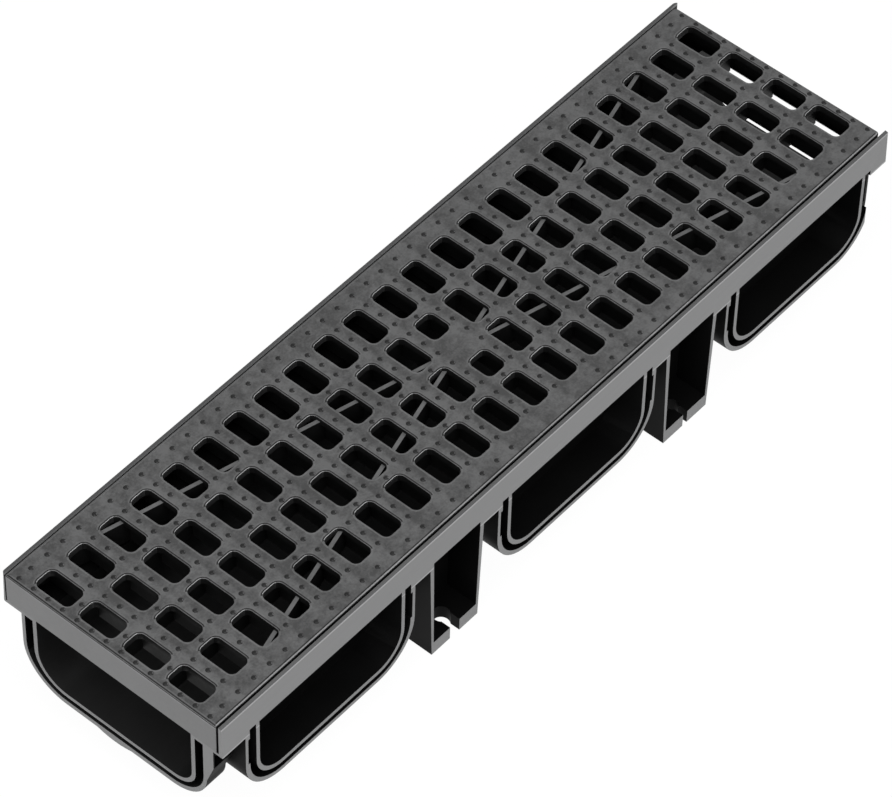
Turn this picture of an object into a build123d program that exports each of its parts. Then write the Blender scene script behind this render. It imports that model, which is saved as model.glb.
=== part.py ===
from build123d import *
from math import atan2, cos, degrees, hypot, radians, sin
import os

# A half-metre plastic drainage channel with its slotted grate.
# X runs along the channel, Y across it and Z up. The origin is on the
# ground, under the flat feet, halfway between the near end and the
# tongue at the far end.

# Overall sizes of the channel
channel_length = 502.5       # length of the rails
tongue_length = 6.4          # the trough reaches past the rails at the far end
channel_height = 88.5        # ground to the walking surface of the grate
rail_half_width = 70.4       # middle of the channel to a rail's lower outer edge
rail_wall = 2.4              # rail thickness at its foot
rail_draft = 0.7             # how far the outer face leans in towards the top
rail_rise = 1.1              # rail's inner edge above the grate
rail_fall = 0.5              # slope across the rail's top
rail_end_radius = 2.0        # rounded ends of the back rail
ledge_depth = 19.0           # walking surface down to the ledge that carries the grate
ledge_wall = 1.7

# Trough that carries the water; its corners are given front first, then back
trough_middle = -1.0
trough_half_width = 49.35
trough_depth = 60.3          # walking surface down to the water's floor
trough_corners = (11.5, 18.0)
trough_wall = 2.4

# Joint collar round each open end
collar_length = 13.0
collar_side_gap = 5.15
collar_floor_gap = 3.2
collar_side_wall = 2.1
collar_floor_wall = 2.9
collar_corners = (20.5, 25.0)
collar_web = 2.0             # plate that closes the back of the collar
post_half_width = 64.4       # outer face of the corner post beside the collar
post_depth = 34.0            # walking surface down to the start of the post's slope
post_foot_depth = 50.0
pocket_top = 21.5            # walking surface down to the pocket in the post's side
pocket_bottom = 34.8
pocket_depth = 4.5
pocket_wall = 0.8
lug_width = 22.0             # shallow centring lug under each collar
lug_height = 1.7

# Joint frames on both sides, closed by the wall of the trough
near_joint_margin = 75.65    # near end of the channel to the middle of its first joint
far_joint_margin = 69.85
middle_joint_shift = 5.6     # middle of the rails to the middle joint
side_half_width = 50.3
side_depth = 62.0            # walking surface down to the frame's floor
side_corner = 16.5
side_wall = 2.3
side_floor_wall = 2.6
side_gap = 4.4
side_floor_gap = 3.4
sleeve_wall = 3.0
sleeve_floor_wall = 2.5
sleeve_length = 15.0
sleeve_web = 2.0
relief_depth = 1.2           # shallow relief in the upper part of each sleeve wall
relief_top = 24.0            # walking surface down to the relief
relief_height = 19.0
last_leg_setback = 2.8       # the leg next to the far collar starts behind the others
mouth_rise = 3.8             # how far the mouths cut up into the rail

# Anchor brackets halfway between the side joints; the channel stands on them
anchor_slots = (7.0, 3.4)    # width of the slot that leads into each keyhole
anchor_top_half = 19.6
anchor_foot_half = 17.1
anchor_mouth_top_half = 17.0
anchor_mouth_foot_half = 15.8
anchor_back_wall = 2.0
foot_thickness = 8.5
keyhole_radii = (4.7, 3.4)
keyhole_setback = 8.7        # bracket's open face to the middle of the keyhole

# Grate
grate_length = 500.0
grate_width = 134.0
grate_side_play = 0.55       # gap to the rail that the grate is pushed against
grate_far_radius = 2.2       # rounded corners at the far end
plate_thickness = 4.0
skirt_wall = 3.0
slot_pitch_x = 21.7
slot_pitch_y = 28.0
slot_width = 12.3
slot_length = 21.7
slot_corner = 3.4
slot_corner_sides = 3        # flats that stand for each rounded corner of a slot
end_land = 5.0               # least plain strip beside the first and the last slots
side_land = 7.0
rib_wall = 2.6
rib_depth = 17.0             # walking surface down to the ribs' lower edge
far_wall_depth = 14.8        # the skirt is cut back to this depth at the far end
brace_wall = 2.1
brace_inset = 2.1            # walking surface down to the top of the diagonal braces
gate_radius = 12.0           # plain round patch in the middle

# Heights and places that follow from the sizes above
ledge_top = channel_height - ledge_depth
ledge_bottom = ledge_top - ledge_wall
rail_inner_half = rail_half_width - rail_wall
rail_top = channel_height + rail_rise
near_x = -(channel_length + tongue_length) / 2
far_x = near_x + channel_length
side_joint_places = (
    near_x + near_joint_margin,
    (near_x + far_x) / 2 + middle_joint_shift,
    far_x - far_joint_margin,
)
anchor_places = [(a + b) / 2 for a, b in zip(side_joint_places, side_joint_places[1:])]
trough_floor = channel_height - trough_depth
trough_outer_half = trough_half_width + trough_wall
trough_bottom = trough_floor - trough_wall
trough_outer_corners = [corner + trough_wall for corner in trough_corners]
collar_inner_half = trough_outer_half + collar_side_gap
collar_half = collar_inner_half + collar_side_wall
collar_inner_floor = trough_bottom - collar_floor_gap
collar_bottom = collar_inner_floor - collar_floor_wall
collar_outer_corners = [corner + collar_side_wall for corner in collar_corners]
side_floor = channel_height - side_depth
side_bottom = side_floor - side_floor_wall
tube_half = side_half_width + side_wall
tube_corner = side_corner + side_wall
sleeve_inner_half = tube_half + side_gap
sleeve_inner_corner = tube_corner + side_gap
sleeve_half = sleeve_inner_half + sleeve_wall
sleeve_corner = sleeve_inner_corner + sleeve_wall
sleeve_inner_floor = side_bottom - side_floor_gap
sleeve_bottom = sleeve_inner_floor - sleeve_floor_wall
relief_middle = channel_height - relief_top - relief_height / 2
hollow_length = rail_half_width - trough_outer_half
front = Plane(origin=(0, -rail_half_width, 0), x_dir=(1, 0, 0), z_dir=(0, -1, 0))
near_end = Plane.YZ.offset(near_x)


def u_outline(half_width, floor, top, corners, middle=0.0):
    """A U with rounded lower corners, drawn across and upwards."""
    left, right = middle - half_width, middle + half_width
    with BuildSketch(Plane.XY) as outline:
        with BuildLine():
            FilletPolyline((left, top), (left, floor), (right, floor), (right, top), radius=corners)
            Line((right, top), (left, top))
        make_face()
    return outline.sketch


def tapered_outline(foot_half, top_half, foot, top, middle):
    """A four-sided outline that widens from its foot to its top."""
    with BuildSketch(Plane.XY) as outline:
        with BuildLine():
            Polyline(
                (middle - foot_half, foot),
                (middle + foot_half, foot),
                (middle + top_half, top),
                (middle - top_half, top),
                close=True,
            )
        make_face()
    return outline.sketch


def slot_outline():
    """A slot whose round corners are made of a few flats each."""
    points = []
    for quarter in range(4):
        across = slot_width / 2 - slot_corner
        along = slot_length / 2 - slot_corner
        middle_x = across if quarter in (0, 3) else -across
        middle_y = along if quarter in (0, 1) else -along
        for step in range(slot_corner_sides + 1):
            angle = radians(90 * (quarter + step / slot_corner_sides))
            points.append((middle_x + slot_corner * cos(angle), middle_y + slot_corner * sin(angle)))
    with BuildSketch(Plane.XY) as outline:
        with BuildLine():
            Polyline(*points, close=True)
        make_face()
    return outline.sketch


with BuildPart() as channel_body:
    # Front rail with its half of the ledge
    with BuildSketch(near_end):
        with BuildLine():
            Polyline(
                (0, ledge_bottom),
                (-rail_half_width, ledge_bottom),
                (-rail_half_width + rail_draft, rail_top - rail_fall),
                (-rail_inner_half, rail_top),
                (-rail_inner_half, ledge_top),
                (0, ledge_top),
                close=True,
            )
        make_face()
    extrude(amount=channel_length)

    # Side joints: an outer sleeve and an inner frame that runs back to the trough
    with BuildSketch(front):
        for x in side_joint_places:
            add(u_outline(sleeve_half, sleeve_bottom, ledge_bottom, sleeve_corner, x))
    extrude(amount=-sleeve_length)
    with BuildSketch(front):
        for x in side_joint_places:
            add(u_outline(tube_half, side_bottom, ledge_bottom, tube_corner, x))
    extrude(amount=-(rail_half_width - trough_half_width))
    with BuildSketch(front):
        for x in side_joint_places:
            add(u_outline(sleeve_inner_half, sleeve_inner_floor, ledge_bottom, sleeve_inner_corner, x))
            with Locations((x, relief_middle)):
                Rectangle(2 * (sleeve_inner_half + relief_depth), relief_height)
            add(u_outline(tube_half, side_bottom, ledge_bottom, tube_corner, x), mode=Mode.SUBTRACT)
    extrude(amount=-(sleeve_length - sleeve_web), mode=Mode.SUBTRACT)
    with BuildSketch(front):
        for x in side_joint_places:
            add(u_outline(side_half_width, side_floor, ledge_bottom, side_corner, x))
    extrude(amount=-hollow_length, mode=Mode.SUBTRACT)

    # The last leg starts behind the face of the others
    with BuildSketch(front):
        with Locations((side_joint_places[-1] + sleeve_inner_half, ledge_bottom)):
            Rectangle(
                sleeve_half - sleeve_inner_half,
                sleeve_corner + ledge_bottom - sleeve_bottom,
                align=(Align.MIN, Align.MAX),
            )
    extrude(amount=-last_leg_setback, mode=Mode.SUBTRACT)

    # Anchor brackets, wider at the top than at the foot
    with BuildSketch(front):
        for x in anchor_places:
            add(tapered_outline(anchor_foot_half, anchor_top_half, 0, ledge_bottom, x))
    extrude(amount=-(hollow_length + anchor_back_wall))
    with BuildSketch(front):
        for x in anchor_places:
            add(
                tapered_outline(
                    anchor_mouth_foot_half, anchor_mouth_top_half, foot_thickness, ledge_bottom, x
                )
            )
    extrude(amount=-hollow_length, mode=Mode.SUBTRACT)

    # Keyhole through each foot, with its slot open to the front
    for x, slot, radius in zip(anchor_places, anchor_slots, keyhole_radii):
        with BuildSketch():
            with Locations((x, -rail_half_width + keyhole_setback)):
                Circle(radius)
            with Locations((x, -rail_half_width + keyhole_setback / 2)):
                Rectangle(slot, keyhole_setback)
        extrude(amount=foot_thickness, mode=Mode.SUBTRACT)

    # Mouths cut up into the rail above every hollow
    mouths = [(x, side_half_width) for x in side_joint_places]
    mouths += [(x, anchor_mouth_top_half) for x in anchor_places]
    for x in side_joint_places:
        for side in (-1, 1):
            mouths.append((x + side * (tube_half + side_gap / 2), side_gap / 2))
    for x, half in mouths:
        with BuildSketch(Plane.YZ.offset(x - half)):
            with BuildLine():
                Polyline(
                    (-rail_inner_half, ledge_bottom),
                    (-rail_half_width, ledge_bottom),
                    (-rail_half_width, ledge_bottom + mouth_rise),
                    close=True,
                )
            make_face()
        extrude(amount=2 * half, mode=Mode.SUBTRACT)

    mirror(about=Plane.XZ)

    # Rounded ends of the back rail
    rail_edges = channel_body.edges().filter_by_position(
        Axis.Y, rail_half_width - rail_draft, rail_half_width
    )
    rail_edges = rail_edges.sort_by(Axis.X)
    fillet([rail_edges[0], rail_edges[-1]], radius=rail_end_radius)

    # Outside of the trough, with its tongue at the far end
    with BuildSketch(near_end):
        add(u_outline(trough_outer_half, trough_bottom, ledge_top, trough_outer_corners, trough_middle))
    extrude(amount=channel_length + tongue_length)

    # Collar round each end, its corner post and the lug under it
    for end, end_x in ((-1, near_x), (1, far_x)):
        end_face = Plane.YZ.offset(end_x)
        with BuildSketch(end_face):
            add(u_outline(collar_half, collar_bottom, ledge_bottom, collar_outer_corners, trough_middle))
            with BuildLine():
                Polyline(
                    (end * trough_outer_half, ledge_bottom),
                    (end * trough_outer_half, channel_height - post_foot_depth),
                    (end * collar_half, channel_height - post_foot_depth),
                    (end * post_half_width, channel_height - post_depth),
                    (end * post_half_width, ledge_bottom),
                    close=True,
                )
            make_face()
            with BuildLine():
                ThreePointArc(
                    (-lug_width / 2, collar_bottom),
                    (0, collar_bottom - lug_height),
                    (lug_width / 2, collar_bottom),
                )
                Line((lug_width / 2, collar_bottom), (-lug_width / 2, collar_bottom))
            make_face()
        extrude(amount=-end * collar_length)
        with BuildSketch(end_face):
            add(
                u_outline(
                    collar_inner_half, collar_inner_floor, ledge_bottom, collar_corners, trough_middle
                )
            )
            add(
                u_outline(
                    trough_outer_half, trough_bottom, ledge_bottom, trough_outer_corners, trough_middle
                ),
                mode=Mode.SUBTRACT,
            )
        extrude(amount=-end * (collar_length - collar_web), mode=Mode.SUBTRACT)

        # Pocket in the side of the post, closed at the end by a thin wall
        with BuildSketch(end_face.offset(-end * pocket_wall)):
            with Locations((end * post_half_width, channel_height - (pocket_top + pocket_bottom) / 2)):
                Rectangle(2 * pocket_depth, pocket_bottom - pocket_top)
        extrude(amount=-end * (collar_length - pocket_wall), mode=Mode.SUBTRACT)

    # Water's way through the whole length
    with BuildSketch(near_end):
        add(u_outline(trough_half_width, trough_floor, ledge_top, trough_corners, trough_middle))
    extrude(amount=channel_length + tongue_length, mode=Mode.SUBTRACT)

channel_body.part.label = "channel_body"

# The grate lies flush with the near end and is pushed against the back rail.
grate_x = near_x + grate_length / 2
grate_y = rail_inner_half - grate_side_play - grate_width / 2
grate_plane = Plane(origin=(grate_x, grate_y, channel_height))
inner_length = grate_length - 2 * skirt_wall
inner_width = grate_width - 2 * skirt_wall
columns_each_side = int((grate_length / 2 - end_land - slot_width / 2) / slot_pitch_x)
slot_columns = 2 * columns_each_side + 1
slot_rows = 2 * int((grate_width / 2 - side_land - slot_length / 2) / slot_pitch_y + 0.5)

with BuildPart() as grate:
    # Plate, skirt and the ribs under it
    with BuildSketch(grate_plane) as plate:
        Rectangle(grate_length, grate_width)
        fillet(plate.vertices().group_by(Axis.X)[-1], radius=grate_far_radius)
    extrude(amount=-ledge_depth)
    with BuildSketch(grate_plane.offset(-plate_thickness)):
        Rectangle(inner_length, inner_width)
    extrude(amount=-(ledge_depth - plate_thickness), mode=Mode.SUBTRACT)
    with BuildSketch(grate_plane.offset(-plate_thickness)):
        with GridLocations(slot_pitch_x, 0, slot_columns - 1, 1):
            Rectangle(rib_wall, inner_width)
        with GridLocations(0, slot_pitch_y, 1, slot_rows - 1):
            Rectangle(inner_length, rib_wall)
    extrude(amount=-(rib_depth - plate_thickness))

    # The far wall of the skirt is lower than the others
    with BuildSketch(grate_plane.offset(-far_wall_depth)):
        with Locations((grate_length / 2, 0)):
            Rectangle(skirt_wall, inner_width, align=(Align.MAX, Align.CENTER))
    extrude(amount=-(ledge_depth - far_wall_depth), mode=Mode.SUBTRACT)

    # Slots, with the middle ones cut short by the plain round patch
    with BuildSketch(grate_plane):
        with GridLocations(slot_pitch_x, slot_pitch_y, slot_columns, slot_rows):
            add(slot_outline())
        Circle(gate_radius, mode=Mode.SUBTRACT)
    extrude(amount=-plate_thickness, mode=Mode.SUBTRACT)

    # Braces from corner to corner, seen through the slots
    brace_angle = degrees(atan2(inner_width, inner_length))
    with BuildSketch(grate_plane.offset(-brace_inset)):
        for turn in (-brace_angle, brace_angle):
            with Locations(Location((0, 0), turn)):
                Rectangle(hypot(inner_length, inner_width), brace_wall)
    extrude(amount=-(rib_depth - brace_inset))

grate.part.label = "grate"

os.makedirs("parts", exist_ok=True)
export_step(channel_body.part, "parts/channel_body.step")
export_step(grate.part, "parts/grate.step")
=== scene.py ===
import math

import bmesh
import bpy
import numpy as np
from mathutils import Matrix, Vector


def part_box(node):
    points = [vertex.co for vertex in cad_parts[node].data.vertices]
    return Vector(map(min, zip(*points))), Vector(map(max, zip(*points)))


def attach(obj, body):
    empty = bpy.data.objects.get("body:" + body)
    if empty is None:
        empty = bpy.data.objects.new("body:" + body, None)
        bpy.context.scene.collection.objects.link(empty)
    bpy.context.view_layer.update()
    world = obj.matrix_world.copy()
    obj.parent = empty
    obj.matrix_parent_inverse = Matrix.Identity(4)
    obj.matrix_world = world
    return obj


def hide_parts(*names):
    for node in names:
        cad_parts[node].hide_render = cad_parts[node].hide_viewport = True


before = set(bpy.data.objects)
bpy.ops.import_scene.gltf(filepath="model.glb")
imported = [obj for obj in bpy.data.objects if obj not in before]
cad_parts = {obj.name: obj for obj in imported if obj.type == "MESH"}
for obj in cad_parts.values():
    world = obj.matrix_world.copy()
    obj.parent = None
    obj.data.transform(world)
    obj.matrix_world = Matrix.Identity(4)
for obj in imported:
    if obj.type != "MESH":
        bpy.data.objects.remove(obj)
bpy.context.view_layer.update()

mm = 0.001
shot = bpy.context.scene


class Wire:
    # one output socket; arithmetic on it adds Math nodes
    def __init__(self, board, socket):
        self.board, self.socket = board, socket

    def maths(self, operation, *others):
        return self.board.put("ShaderNodeMath", {"operation": operation}, dict(enumerate((self, *others))))

    def __add__(self, other):
        return self.maths("ADD", other)

    def __sub__(self, other):
        return self.maths("SUBTRACT", other)

    def __rsub__(self, other):
        return self.board.put("ShaderNodeMath", {"operation": "SUBTRACT"}, {0: other, 1: self})

    def __mul__(self, other):
        return self.maths("MULTIPLY", other)

    def __truediv__(self, other):
        return self.maths("DIVIDE", other)

    __radd__ = __add__
    __rmul__ = __mul__

    def ramp(self, low, high, start=0.0, end=1.0):
        # straight ramp from start at low to end at high, held outside
        return self.board.put(
            "ShaderNodeMapRange", {"clamp": True},
            {"Value": self, "From Min": low, "From Max": high, "To Min": start, "To Max": end},
        )


class Board:
    # the nodes of one material or world
    def __init__(self, owner):
        self.owner = owner
        owner.use_nodes = True
        self.nodes, self.links = owner.node_tree.nodes, owner.node_tree.links
        self.nodes.clear()

    def put(self, kind, settings, inputs, output=0):
        node = self.nodes.new(kind)
        for name, value in settings.items():
            setattr(node, name, value)
        for name, value in inputs.items():
            if isinstance(value, Wire):
                self.links.new(value.socket, node.inputs[name])
            else:
                node.inputs[name].default_value = value
        return Wire(self, node.outputs[output]) if len(node.outputs) else self.owner

    def place(self):
        # Object coordinates, in millimetres
        spot = self.put("ShaderNodeTexCoord", {}, {}, "Object")
        return self.put("ShaderNodeVectorMath", {"operation": "SCALE"}, {0: spot, "Scale": 1000.0})

    def noise(self, spot, scale, detail=2.0, rough=0.5):
        inputs = {"Vector": spot, "Scale": scale, "Detail": detail, "Roughness": rough}
        return self.put("ShaderNodeTexNoise", {}, inputs)

    def blend(self, share, low, high):
        # a colour between two
        return self.put("ShaderNodeMix", {"data_type": "RGBA"}, {0: share, 6: (*low, 1), 7: (*high, 1)}, 2)

    def finish(self, inputs):
        shader = self.put("ShaderNodeBsdfPrincipled", {}, inputs)
        return self.put("ShaderNodeOutputMaterial", {}, {"Surface": shader})

    def seen(self):
        # 1 for rays from the camera, off a glossy face or through glass, 0 for the light on matt faces
        kinds = ("Camera", "Glossy", "Transmission")
        rays = [self.put("ShaderNodeLightPath", {}, {}, f"Is {kind} Ray") for kind in kinds]
        return (rays[0] + rays[1] + rays[2]).ramp(0.0, 1.0)


def plainMesh(name, points, faces, which, materials, smoothAngle=35.0):
    # points in millimetres, n by 3; faces by vertex number; which numbers the material of every face
    mesh = bpy.data.meshes.new(name)
    mesh.from_pydata((points * mm).tolist(), [], faces if isinstance(faces, list) else faces.tolist())
    for material in materials:
        mesh.materials.append(material)
    mesh.polygons.foreach_set("material_index", np.asarray(which, dtype=np.int32))
    mesh.validate()
    return dress(mesh, name, smoothAngle)


def dress(mesh, name, smoothAngle):
    # merges doubles, turns the faces outwards and smooths below the angle
    shape = bmesh.new()
    shape.from_mesh(mesh)
    bmesh.ops.remove_doubles(shape, verts=shape.verts, dist=0.004 * mm)
    bmesh.ops.recalc_face_normals(shape, faces=shape.faces)
    shape.to_mesh(mesh)
    shape.free()
    mesh.polygons.foreach_set("use_smooth", np.ones(len(mesh.polygons), dtype=bool))
    mesh.set_sharp_from_angle(angle=math.radians(smoothAngle))
    thing = bpy.data.objects.new(name, mesh)
    bpy.context.collection.objects.link(thing)
    return thing


def gridFaces(rows, columns, closed=False):
    # faces of a rows by columns grid; closed joins the last column to the first
    row, column = np.meshgrid(np.arange(rows - 1), np.arange(columns if closed else columns - 1), indexing="ij")
    this, following = row * columns + column, row * columns + (column + 1) % columns
    return np.stack([this, following, following + columns, this + columns], -1).reshape(-1, 4)


def repeated(points, faces, places):
    # the same small shape at every place
    places = np.asarray(places, dtype=float)
    everyPoint = (points[None] + places[:, None]).reshape(-1, 3)
    everyFace = (faces[None] + len(points) * np.arange(len(places))[:, None, None]).reshape(-1, faces.shape[1])
    return everyPoint, everyFace


def boxes(lows, highs):
    # closed boxes between their lowest and highest corners, the underside and then the top first
    lows, highs = np.asarray(lows, float), np.asarray(highs, float)
    corner = np.array([[i & 1, i >> 1 & 1, i >> 2] for i in range(8)])
    quads = np.array([[0, 2, 3, 1], [4, 5, 7, 6], [0, 1, 5, 4], [2, 6, 7, 3], [0, 4, 6, 2], [1, 3, 7, 5]])
    points = lows[:, None] + corner[None] * (highs - lows)[:, None]
    faces = quads[None] + 8 * np.arange(len(lows))[:, None, None]
    return points.reshape(-1, 3), faces.reshape(-1, 4)


bodyFinish = {
    "roughness": 0.48,
    "grain": 0.9,          # size of the fine grain, 1/mm
    "grainDepth": 0.03,
    "cloud": 0.05,         # size of the faint clouds, 1/mm
    # tone, spread of the tone and specular level of each kind of face
    "tones": {
        "bodyPaintedLight": (0.182, 0.07, 0.5),      # painted light: the flat outer faces, painted a soft grey as if lit
        "bodyTop": (0.056, 0.20, 0.5),       # the rails' narrow tops
        "bodyPaintedSideShade": (0.006, 0.15, 0.03),     # painted shade on the outsides of the frames and brackets
        "bodyShade": (0.010, 0.15, 0.10),    # sheltered walls
        "bodyPaintedDeepShade": (0.003, 0.15, 0.04),     # painted shade in the pockets and on the far walls of the mouths
        "bodyPaintedBackTopShade": (0.036, 0.20, 0.4),      # painted shade on the top of the back rail
        "bodyEdge": (0.330, 0.05, 0.5),      # painted highlight: pale line along the edges of the outer faces
    },
}
grateFinish = {
    "roughness": 0.44,
    "mottle": 0.21,        # size of the clouds, 1/mm
    "grain": 0.8,
    "grainDepth": 0.06,
    "bars": 0.62,          # how far the painted light of a crown shows on the crossbars, in the plate's tone
    "tones": {
        "grateTopFace": (0.052, 0.55, 0.5),
        "grateEnd": (0.136, 0.07, 0.5),      # painted light on the near end of the skirt
        "grateShade": (0.006, 0.20, 0.12),
        # painted light: the braces' tops, and a paler band round the plate's back and near edges
        "grateBrace": (0.085, 0.20, 0.4),
        "grateGlint": (0.260, 0.25, 0.5),    # bright rounding at the slots' back ends
        "gratePale": (0.078, 0.30, 0.5),     # painted light: paler border of the slots
        "grateDim": (0.010, 0.30, 0.2),      # painted shade: dark line behind the roundings
        "grateStud": (0.007, 0.20, 0.2),     # painted shade on the studs' backs
        "grateWall": (0.017, 0.20, 0.3),     # painted light on the slots' back walls
        "grateLine": (0.200, 0.15, 0.5),     # painted highlight along the plate's edges
    },
}


def greys(tone, spread):
    # two colours either side of a tone, a touch bluish
    return [tuple(tone * (1 + sign * spread) * tint for tint in (0.995, 1.0, 1.01)) for sign in (-1, 1)]


def bodyPlastic(name, tone, spread, specular):
    # the tone varies with faint clouds and with streaks drawn out along the channel
    board = Board(bpy.data.materials.new(name))
    spot = board.place()
    grain = board.noise(spot, bodyFinish["grain"], 3.0)
    cloud = board.noise(spot, bodyFinish["cloud"], 3.0)
    drawn = board.put("ShaderNodeMapping", {}, {"Vector": spot, "Scale": (0.02, 0.9, 0.9)})
    streak = board.noise(drawn, 1.0, 2.0)
    share = (cloud - 0.5) * 1.1 + (streak - 0.5) * 0.7 + 0.5
    depth = bodyFinish["grainDepth"] * mm
    bump = board.put("ShaderNodeBump", {}, {"Height": grain, "Strength": 0.25, "Distance": depth})
    return board.finish({
        "Base Color": board.blend(share, *greys(tone, spread)),
        "Roughness": (cloud - 0.5) * 0.12 + bodyFinish["roughness"],
        "Specular IOR Level": specular,
        "Normal": bump,
    })


def gratePlastic(name, tone, spread, specular, bars=0.0):
    # Painted light: the near half of every crossbar is painted paler, as if the flat bar were a little crowned
    # and lit;
    # a saw tooth along x that falls over the middle of each bar, the lesser of r and 7 (1 - r), r = remainder of
    # (x - bar) / pitch.
    board = Board(bpy.data.materials.new(name))
    spot = board.place()
    x = board.put("ShaderNodeSeparateXYZ", {}, {0: spot}, 0)
    grain = board.noise(spot, grateFinish["grain"], 3.0, 0.6)
    mottle = board.noise(spot, grateFinish["mottle"], 5.0, 0.66)
    broad = board.noise(spot, 0.035, 2.0)
    share = (mottle - 0.5) * 2.4 + (broad - 0.5) * 1.4 + (grain - 0.5) * 1.3 + 0.5
    if bars:
        rest = ((x - barStart) / barPitch).maths("FRACT")
        share = share + (rest.maths("MINIMUM", (1.0 - rest) * 7.0) - 0.43) * bars
    height = grain * 0.4 + mottle
    depth = grateFinish["grainDepth"] * mm
    bump = board.put("ShaderNodeBump", {}, {"Height": height, "Strength": 0.5, "Distance": depth})
    return board.finish({
        "Base Color": board.blend(share, *greys(tone, spread)),
        "Roughness": (mottle - 0.5) * 0.35 + grateFinish["roughness"],
        "Specular IOR Level": specular,
        "Normal": bump,
    })


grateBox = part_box("grate")
grateMiddle = [500 * (grateBox[0][i] + grateBox[1][i]) for i in range(2)]      # in millimetres
barPitch = 21.7
barStart = grateMiddle[0] + barPitch / 2 + 1.4
bodyNames, grateNames = list(bodyFinish["tones"]), list(grateFinish["tones"])
bodyMaterials = [bodyPlastic(name, *bodyFinish["tones"][name]) for name in bodyNames]
grateMaterials = [
    gratePlastic(name, *grateFinish["tones"][name], grateFinish["bars"] if name == "grateTopFace" else 0.0)
    for name in grateNames
]
print("materials made")


def centresAndNormals(mesh):
    # middle and normal of every face, in millimetres
    middle, facing = np.zeros(3 * len(mesh.polygons)), np.zeros(3 * len(mesh.polygons))
    mesh.polygons.foreach_get("center", middle)
    mesh.polygons.foreach_get("normal", facing)
    return middle.reshape(-1, 3) / mm, facing.reshape(-1, 3)


bodyEdge = {"bevel": 0.28, "angle": 32.0}      # millimetres, degrees
bodyLimits = {
    "frames": 50.0,        # the frames and brackets lie further out than this
    "mouths": 55.3,        # their mouths and the sleeves' outsides
    "face": 69.5,          # outer faces of the rails
    "backRail": 67.0,      # inside of the back rail
    "ledge": 67.9,         # underside of the ledge
    "rail": 71.0,          # above it lie only the rails
    "top": 88.6,           # above it lie the rails' tops
    "foot": 20.0,
    "nearEnd": -254.3,
    "farEnd": 247.9,
}
bodyLines = ((88.0, 89.3), (67.9, 68.8))      # heights of the painted highlight lines on the rails' faces
sideCentres = np.array([-178.8, -88.2, 2.4, 90.3, 178.2])      # frames and brackets in turn


def bodyFaces(mesh):
    # number of the material of every face, from its middle and normal, painting light and shade by where the face
    # lies and which way it faces: painted light on the outer faces, painted shade in the mouths, pockets and
    # sheltered walls; a later rule overrules an earlier one
    middle, facing = centresAndNormals(mesh)
    at = bodyLimits
    x, across, up = middle[:, 0], np.abs(middle[:, 1]), middle[:, 2]
    outward, upward = facing[:, 1] * middle[:, 1], facing[:, 2] > 0.5
    past = x - sideCentres[np.abs(x[:, None] - sideCentres).argmin(1)]
    nearward, sideward = facing[:, 0] < -0.2, np.abs(facing[:, 1]) > 0.9
    below = up < at["rail"]
    sheltered = (across > at["frames"]) & below
    ending = (np.abs(facing[:, 0]) > 0.9) & ((x < at["nearEnd"]) | (x > at["farEnd"]))
    rules = [
        ("bodyPaintedDeepShade", sheltered & nearward | (across > at["mouths"]) & below),
        ("bodyPaintedDeepShade", sheltered & (outward > 25)),
        ("bodyPaintedSideShade", (across > at["mouths"]) & (up < at["ledge"]) & nearward & (past < 0)),
        ("bodyPaintedSideShade", (up < at["foot"]) & (facing[:, 2] < -0.3)),
        ("bodyPaintedLight", (up > bodyLines[0][0]) & (middle[:, 1] > at["backRail"]) & (facing[:, 1] < -0.9)),
        ("bodyTop", (up > at["top"]) & upward),
        ("bodyPaintedBackTopShade", (up > at["top"]) & upward & (middle[:, 1] > 0)),
        ("bodyPaintedLight", ending | (across > at["face"]) & sideward),
    ]
    which = np.full(len(middle), bodyNames.index("bodyShade"))
    for tone, chosen in rules:
        which[chosen] = bodyNames.index(tone)
    # painted highlight lines along the rails' outer faces
    for low, high in bodyLines:
        lined = (which == bodyNames.index("bodyPaintedLight")) & (up > low) & (up < high)
        which[lined & (across > at["face"])] = bodyNames.index("bodyEdge")
    return which


def eased(node, name):
    # a merged copy of the CAD node with its flat faces joined
    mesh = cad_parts[node].data.copy()
    mesh.name = name
    shape = bmesh.new()
    shape.from_mesh(mesh)
    bmesh.ops.remove_doubles(shape, verts=shape.verts, dist=0.005 * mm)
    bmesh.ops.dissolve_limit(
        shape, angle_limit=math.radians(0.5), verts=shape.verts, edges=shape.edges, delimit={"NORMAL"}
    )
    for height in np.ravel(bodyLines):
        # cuts across the rails' faces, where a painted highlight line begins or ends
        bmesh.ops.bisect_plane(
            shape, geom=shape.verts[:] + shape.edges[:] + shape.faces[:],
            plane_co=(0, 0, height * mm), plane_no=(0, 0, 1),
        )
    shape.to_mesh(mesh)
    shape.free()
    mesh.materials.clear()
    for material in bodyMaterials:
        mesh.materials.append(material)
    mesh.polygons.foreach_set("material_index", bodyFaces(mesh).astype(np.int32))
    mesh.polygons.foreach_set("use_smooth", np.ones(len(mesh.polygons), dtype=bool))
    mesh.set_sharp_from_angle(angle=math.radians(bodyEdge["angle"]))
    thing = bpy.data.objects.new(name, mesh)
    bpy.context.collection.objects.link(thing)
    return thing


channel = eased("channel_body", "channelShell")
bevel = channel.modifiers.new("easedEdges", "BEVEL")
bevel.width, bevel.segments = bodyEdge["bevel"] * mm, 2
bevel.limit_method, bevel.angle_limit = "ANGLE", math.radians(bodyEdge["angle"])
bevel.harden_normals = True
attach(channel, "root")
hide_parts("channel_body")
print("channel body eased")


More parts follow.
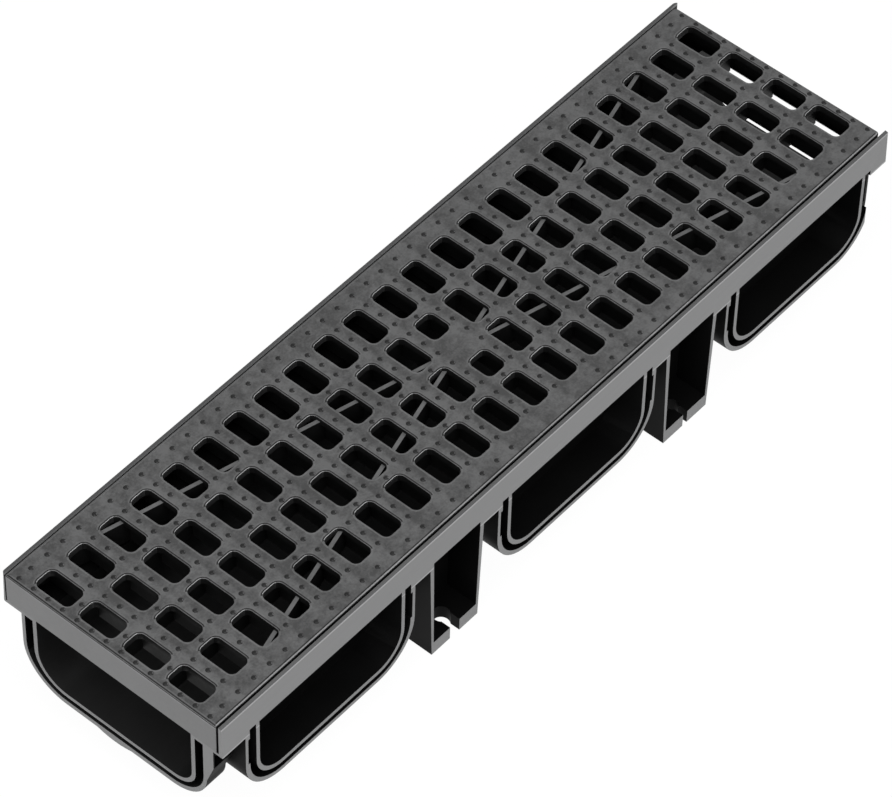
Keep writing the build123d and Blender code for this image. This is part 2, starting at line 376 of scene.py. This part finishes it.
grateShape = {
    "half": (250.0, 67.0),
    "pitch": (barPitch, 28.0),
    "columns": 23,
    "rows": 4,
    "slot": (12.4, 22.0),
    "shift": (0.13, 0.22),     # slots' middles, towards the far and back sides
    "corner": 3.4,
    "thickness": 4.0,
    "lip": 0.7,            # lit lower part of the slots' walls
    "rim": 0.45,           # rounding of the slot rims
    "borders": (1.9, 1.15),    # where the painted light and shade change round a slot, from its wall
    "edge": 0.5,           # rounding of the outer edge
    "edgeBorders": (2.0, 1.3),
    "raised": 0.03,        # the border stands a hair above the plate
    "edgeLine": 1.3,       # the painted highlight line down the skirt's near end
    "nearCorner": 0.5,
    "farCorner": 2.2,
    "depth": 19.0,
    "skirt": 3.0,
    "ribDepth": 17.0,
    "farDepth": 14.8,      # the skirt's far wall is lower
    "rib": 2.6,
    "brace": 2.1,
    "braceTop": 2.1,
    "patch": 7.4,          # how much shorter the two slots beside the plain patch in the middle are
}


def tones(names):
    # numbers of the grate's materials
    return np.array([grateNames.index("grate" + name) for name in names])


def slotCell(g, cut=0):
    # One cell of the plate. Around the slot runs u, outwards to inwards runs v: the cell's border, two changes of
    # painted light and shade, the rounded rim (a quarter circle), the slot's wall, the underside back to the
    # border.
    halfX, halfY = g["slot"][0] / 2, g["slot"][1] / 2
    cellX, cellY = g["pitch"][0] / 2, g["pitch"][1] / 2
    turn = np.linspace(0, math.pi / 2, 7)
    # border of a quarter, anticlockwise, with the corner at the middle of the turn
    borderX = np.r_[np.full(6, cellX), np.linspace(cellX, 0, 6)[1:]]
    borderY = np.r_[np.linspace(0, cellY, 6), np.full(5, cellY)]
    centreX, centreY = halfX - g["corner"], halfY - g["corner"]
    arc = np.r_[0, 0, turn, math.pi / 2, math.pi / 2]
    baseX = np.r_[centreX, centreX, np.full(7, centreX), centreX / 2, 0.0]
    baseY = np.r_[0.0, centreY / 2, np.full(7, centreY), centreY, centreY]
    outward = np.stack([np.cos(arc), np.sin(arc)], 1)

    def wholeRing(quarter):
        # the other three quarters by mirroring, without doubled ends
        flipped = quarter[::-1] * (-1, 1)
        half = np.r_[quarter, flipped[1:]]
        return np.r_[half, (half * (1, -1))[::-1][1:-1]]

    ease = np.array([0.0, math.pi / 4, math.pi / 2])
    offsets = np.r_[g["borders"], g["rim"] * (1 - np.sin(ease)), 0.0, 0.0]
    heights = -np.r_[0.0, 0.0, g["rim"] * (1 - np.cos(ease)), g["thickness"] - g["lip"], g["thickness"]]
    border = wholeRing(np.stack([borderX, borderY], 1))
    rings = [np.c_[border, np.zeros(len(border))]]
    for offset, height in zip(offsets, heights):
        flat = wholeRing(np.stack([baseX, baseY], 1) + (g["corner"] + offset) * outward) + g["shift"]
        if cut:
            # the inner end moves outwards with its round corners, the straight sides shorten
            known = np.array([-cellY, -centreY, centreY, cellY])
            flat[:, 1] = cut * np.interp(cut * flat[:, 1], known, known + np.array([1, 1, 0, 0]) * g["patch"])
        rings.append(np.c_[flat, np.full(len(flat), height)])
    rings.append(np.c_[border, np.full(len(border), -g["thickness"])])
    points = np.array(rings)
    # painted light and shade by the way that a piece of the rim faces: away from the slot's middle to the back or
    # far side
    away = wholeRing(outward)
    away = away + np.roll(away, -1, axis=0)
    away /= np.linalg.norm(away, axis=1)[:, None]
    back, lit = away[:, 1] > 0.9, away @ (0.63, 0.77) > 0.1
    pick = np.where
    plate, pale, dim, glint, wall, shade = tones(["TopFace", "Pale", "Dim", "Glint", "Wall", "Shade"])
    which = np.array([
        np.full(len(back), plate),
        pick(lit, pale, plate),
        pick(lit, dim, pale),
        pick(back, glint, pick(lit, plate, pale)),
        pick(lit, shade, pale),
        pick(back, wall, shade),
        pick(back, wall, shade),
        np.full(len(back), shade),
    ])
    return points.reshape(-1, 3), gridFaces(points.shape[0], points.shape[1], closed=True), which.ravel()


def gratePlate(g):
    # the slotted plate: one cell carried to every slot
    across = (np.arange(g["rows"]) - (g["rows"] - 1) / 2) * g["pitch"][1]
    along = (np.arange(g["columns"]) - (g["columns"] - 1) / 2) * g["pitch"][0]
    plain = [(x, y, 0) for x in along for y in across if abs(x) > 1 or abs(y) > g["pitch"][1]]
    points, faces, which, count = [], [], [], 0
    for side, places in ((0, plain), (1, [(0, g["pitch"][1] / 2, 0)]), (-1, [(0, -g["pitch"][1] / 2, 0)])):
        cell, cellFaces, cellTones = slotCell(g, side)
        many, manyFaces = repeated(cell, cellFaces, places)
        points.append(many)
        faces.append(manyFaces + count)
        which.append(np.tile(cellTones, len(places)))
        count += len(many)
    return np.concatenate(points), np.concatenate(faces), np.concatenate(which)


def grateRim(g):
    # A band round the plate: from the border of the slots' grid over two changes of painted light and shade to
    # the edge, a quarter circle down, the skirt's outside, its lower edge, its inside and the underside to the
    # grid.
    gridX, gridY = g["columns"] * g["pitch"][0] / 2, g["rows"] * g["pitch"][1] / 2
    halfX, halfY = g["half"]

    def loop(hx, hy, radiusNear, radiusFar):
        # rectangle with round corners, eight points a corner, anticlockwise from the far back corner
        out = []
        for quarter, (sx, sy) in enumerate(((1, 1), (-1, 1), (-1, -1), (1, -1))):
            r = radiusFar if sx > 0 else radiusNear
            a = np.linspace(quarter, quarter + 1, 8) * math.pi / 2
            out.append(np.stack([sx * (hx - r) + r * np.cos(a), sy * (hy - r) + r * np.sin(a)], 1))
        return np.concatenate(out)

    e, near, far, skirt = g["edge"], g["nearCorner"], g["farCorner"], g["skirt"]
    ease = np.array([0.0, math.pi / 4, math.pi / 2])
    insets = np.r_[g["edgeBorders"], e * (1 - np.sin(ease))]
    heights = g["raised"] - np.r_[0, 0, e * (1 - np.cos(ease))]
    rings = [(loop(min(gridX, halfX - insets[0]), gridY, 0, 0), 0.0)]
    for inset, height in zip(insets, heights):
        rings.append((loop(halfX - inset, halfY - inset, max(near - inset, 0), max(far - inset, 0.1)), height))
    rings.append((loop(halfX, halfY, near, far), -g["edgeLine"]))
    rings.append((loop(halfX, halfY, near, far), -g["depth"]))
    rings.append((loop(halfX - skirt, halfY - skirt, 0, 0), -g["depth"]))
    rings.append((loop(halfX - skirt, halfY - skirt, 0, 0), -g["thickness"]))
    rings.append((loop(gridX, gridY, 0, 0), -g["thickness"]))
    points = np.array([np.c_[flat, np.full(len(flat), height)] for flat, height in rings])
    farWall = (points[:, :, 0] > halfX - skirt - 0.1) & (np.abs(points[:, :, 1]) < halfY - skirt + 0.1)
    points[:, :, 2] = np.where(farWall, np.maximum(points[:, :, 2], -g["farDepth"]), points[:, :, 2])
    # painted light and shade: one row for every ring of faces, one column for every side: far, back, near, front
    table = np.array([
        tones(["TopFace", "TopFace", "TopFace", "TopFace"]),
        tones(["TopFace", "TopFace", "Brace", "Dim"]),
        tones(["TopFace", "Brace", "Dim", "Line"]),
        tones(["TopFace", "Brace", "Brace", "Shade"]),
        tones(["Shade", "Shade", "Dim", "Shade"]),
        tones(["Shade", "Shade", "Line", "Shade"]),
        tones(["Shade", "Shade", "End", "Shade"]),
        tones(["Shade"] * 4), tones(["Shade"] * 4), tones(["Shade"] * 4),
    ])
    side = (np.arange(points.shape[1]) + 4) // 8 % 4
    return points.reshape(-1, 3), gridFaces(points.shape[0], points.shape[1], closed=True), table[:, side].ravel()


def grateRibs(g):
    # flat upright bars under the plate: between the slots and along it
    insideX, insideY = g["half"][0] - g["skirt"], g["half"][1] - g["skirt"]
    low, high, wide = -g["ribDepth"], -g["thickness"] + 0.2, g["rib"] / 2
    along = (np.arange(g["columns"] - 1) - (g["columns"] - 2) / 2) * g["pitch"][0]
    across = (np.arange(g["rows"] - 1) - (g["rows"] - 2) / 2) * g["pitch"][1]
    lows = [(x - wide, -insideY, low) for x in along] + [(-insideX, y - wide, low) for y in across]
    highs = [(x + wide, insideY, high) for x in along] + [(insideX, y + wide, high) for y in across]
    return boxes(lows, highs)


def grateBraces(g):
    # two upright bars from corner to corner, turned about the middle of the plate
    insideX, insideY = g["half"][0] - g["skirt"], g["half"][1] - g["skirt"]
    reach = math.hypot(insideX, insideY) - 1.0
    bar, barFaces = boxes([(-reach, -g["brace"] / 2, -g["ribDepth"])], [(reach, g["brace"] / 2, -g["braceTop"])])
    points, faces = [], []
    x, y, z = bar.T
    for turn in (-math.atan2(insideY, insideX), math.atan2(insideY, insideX)):
        cos, sin = math.cos(turn), math.sin(turn)
        faces.append(barFaces + len(points) * len(bar))
        points.append(np.stack([x * cos - y * sin, x * sin + y * cos, z], 1))
    return np.concatenate(points), np.concatenate(faces)


studShape = {
    "around": 12,
    "foot": (1.65, 1.45),      # radii of the foot ring
    "dome": 1.4,
    "step": 0.02,              # start of the dome above the plate
    "height": 0.45,
    "sunk": 0.05,
    "paintedLightTurn": 42.0,          # way to the painted light spot, in degrees
    "endLines": (3.2, 2.2),    # last lines of studs, from the near and the far end of the plate
    "rows": (-60.7, -28.0, 0.0, 28.0, 60.7),
    "bareMiddle": 6.0,
    "bareFront": (30.0, 55.0),     # no studs in the middle of the front edge
}


def grateStuds(g, stud):
    # A low dome on a narrow foot ring: u runs round it, v along the profile from the foot to the crown.
    # Dome: radius = dome * cos(v), height = step + height * sin(v), closed by triangles to its crown.
    around = stud["around"]
    u = (np.arange(around) + 0.5) * 2 * math.pi / around
    v = np.array([0.0, 0.5, 1.0])
    radius = np.r_[stud["foot"], stud["dome"] * np.cos(v)][:, None]
    height = np.r_[-stud["sunk"], stud["step"], stud["step"] + stud["height"] * np.sin(v)][:, None]
    dome = np.stack([radius * np.cos(u), radius * np.sin(u), height + 0 * u], -1).reshape(-1, 3)
    faces = gridFaces(len(radius), around, closed=True)
    points = np.r_[dome, [[0, 0, stud["step"] + stud["height"]]]]
    rows = len(radius) - 1
    last = rows * around + np.arange(around)
    crown = np.stack([last, np.roll(last, -1), np.full(around, len(dome))], 1)
    # painted shade all round but for a spot on the far front side, where the dome is painted as pale as the
    # plate; painted light on the foot ring's other side
    turned = np.tile(np.cos(u + math.pi / around + math.radians(stud["paintedLightTurn"])), rows + 1)
    row = np.repeat(np.arange(rows + 1), around)
    plate, dark, dim, pale = tones(["TopFace", "Stud", "Dim", "Pale"])
    spotted = (row > 1) & (row < 4) & (turned > 0.8)
    chosen = [np.where(turned < 0.3, pale, dim), plate, dim]
    which = np.select([row == 0, spotted, (row > 1) & (turned > 0.2)], chosen, dark)
    pitchX, pitchY = g["pitch"]
    ends = stud["endLines"]
    lines = (np.arange(g["columns"] - 1) - (g["columns"] - 2) / 2) * pitchX
    lines = np.r_[lines, ends[0] - g["half"][0], g["half"][0] - ends[1]]
    onLines = (np.arange(14) - 6.5) * pitchY / 3
    columns = (np.arange(g["columns"]) - (g["columns"] - 1) / 2) * pitchX
    places = [(x, y, 0) for x in lines for y in onLines] + [(x, y, 0) for x in columns for y in stud["rows"]]
    bare, (bareX, bareY) = stud["bareMiddle"], stud["bareFront"]
    places = np.array([
        (x, y, z) for x, y, z in places
        if not (abs(x) < bare and abs(y) < bare) and not (abs(x) < bareX and y < -bareY)
    ])
    many, manyFaces = repeated(points, faces, places)
    crowns = (crown[None] + len(points) * np.arange(len(places))[:, None, None]).reshape(-1, 3)
    numbers = [np.tile(part, len(places)) for part in (which[:len(faces)], which[len(faces):])]
    return many, manyFaces.tolist() + crowns.tolist(), np.concatenate(numbers)


g = grateShape
home = np.array([*grateMiddle, 1000 * grateBox[1][2]])      # middle of the plate's top
platePoints, plateFaces, plateTones = gratePlate(g)
rimPoints, rimFaces, rimTones = grateRim(g)
grateTop = plainMesh(
    "grateTop", np.r_[platePoints, rimPoints] + home, np.r_[plateFaces, rimFaces + len(platePoints)],
    np.r_[plateTones, rimTones], grateMaterials, 40.0,
)
ribPoints, ribFaces = grateRibs(g)
shade, brace = tones(["Shade", "Brace"])
grateRibbing = plainMesh("grateRibs", ribPoints + home, ribFaces, np.full(len(ribFaces), shade), grateMaterials)
bracePoints, braceFaces = grateBraces(g)
braceTones = np.tile(np.where(np.arange(6) == 1, brace, shade), len(braceFaces) // 6)      # painted light on the tops only, painted shade on the sides and underside
grateBracing = plainMesh("grateBraces", bracePoints + home, braceFaces, braceTones, grateMaterials)
studPoints, studFaces, studTones = grateStuds(g, studShape)
studs = plainMesh("grateStuds", studPoints + home, studFaces, studTones, grateMaterials, 60.0)
for piece in (grateTop, grateRibbing, grateBracing, studs):
    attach(piece, "root")
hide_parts("grate")
print("grate made", len(grateTop.data.polygons), len(studs.data.polygons))


studio = {
    "floorHalf": 9.0,
    "floorWhite": 0.95,
    "ambient": 0.40,
}


def studioFloor():
    board = Board(bpy.data.materials.new("paleFloor"))
    pale = board.put("ShaderNodeBsdfDiffuse", {}, {"Color": (0.8, 0.8, 0.8, 1)})
    bright = board.put("ShaderNodeEmission", {}, {"Color": (1, 1, 1, 1), "Strength": 1.02})
    share = board.seen() * studio["floorWhite"]
    mixed = board.put("ShaderNodeMixShader", {}, {0: share, 1: pale, 2: bright})
    material = board.put("ShaderNodeOutputMaterial", {}, {"Surface": mixed})
    h = studio["floorHalf"] * 1000
    corners = np.array([[-h, -h, 0], [h, -h, 0], [h, h, 0], [-h, h, 0]])
    plainMesh("floor", corners, np.array([[0, 1, 2, 3]]), [0], [material])


def studioWorld():
    board = Board(bpy.data.worlds.new("studio"))
    dim, white = (
        board.put("ShaderNodeBackground", {}, {"Color": (1, 1, 1, 1), "Strength": strength})
        for strength in (studio["ambient"], 1.0)
    )
    mixed = board.put("ShaderNodeMixShader", {}, {0: board.seen(), 1: dim, 2: white})
    shot.world = board.put("ShaderNodeOutputWorld", {}, {"Surface": mixed})


lamps = {
    "overheadSoftbox": {"azimuth": 60.0, "elevation": 74.0, "distance": 2.4, "size": 1.5, "power": 30.0},
    "nearSoftbox": {"azimuth": 70.0, "elevation": 40.0, "distance": 2.6, "size": 1.2, "power": 14.0},
    "frontSoftbox": {"azimuth": 5.0, "elevation": 42.0, "distance": 2.6, "size": 1.2, "power": 16.0},
}
# a lamp's azimuth is the side that it stands on: 0 in front (-Y), 90 at the near end (-X)


def softbox(name, lamp):
    a, e = math.radians(lamp["azimuth"]), math.radians(lamp["elevation"])
    away = Vector((-math.sin(a) * math.cos(e), -math.cos(a) * math.cos(e), math.sin(e)))
    light = bpy.data.lights.new(name, "AREA")
    light.shape, light.size, light.energy = "DISK", lamp["size"], lamp["power"]
    thing = bpy.data.objects.new(name, light)
    bpy.context.collection.objects.link(thing)
    thing.location = away * lamp["distance"] + Vector((0, 0, 0.05))
    thing.rotation_mode = "QUATERNION"
    thing.rotation_quaternion = away.to_track_quat("Z", "Y")


studioFloor()
studioWorld()
for lampName, lampSet in lamps.items():
    softbox(lampName, lampSet)
print("studio lit")


photoView = {
    "azimuth": -50.573, "elevation": 49.885, "roll": 1.677,
    "distance": 2.4419, "lens": 201.34, "aim": (-0.02168, -0.00597, 0.0685),
}


def photoCamera(v):
    camera = bpy.data.objects.new("photoCamera", bpy.data.cameras.new("photoCamera"))
    bpy.context.collection.objects.link(camera)
    camera.data.lens, camera.data.sensor_width = v["lens"], 36.0
    camera.data.clip_start, camera.data.clip_end = 0.05, 60.0
    turn = (
        Matrix.Rotation(math.radians(v["azimuth"]), 4, "Z")
        @ Matrix.Rotation(math.radians(90 - v["elevation"]), 4, "X")
        @ Matrix.Rotation(math.radians(v["roll"]), 4, "Z")
    )
    camera.matrix_world = Matrix.Translation(Vector(v["aim"]) + turn.col[2].to_3d() * v["distance"]) @ turn
    shot.camera = camera


photoCamera(photoView)
shot.view_settings.view_transform = "Standard"
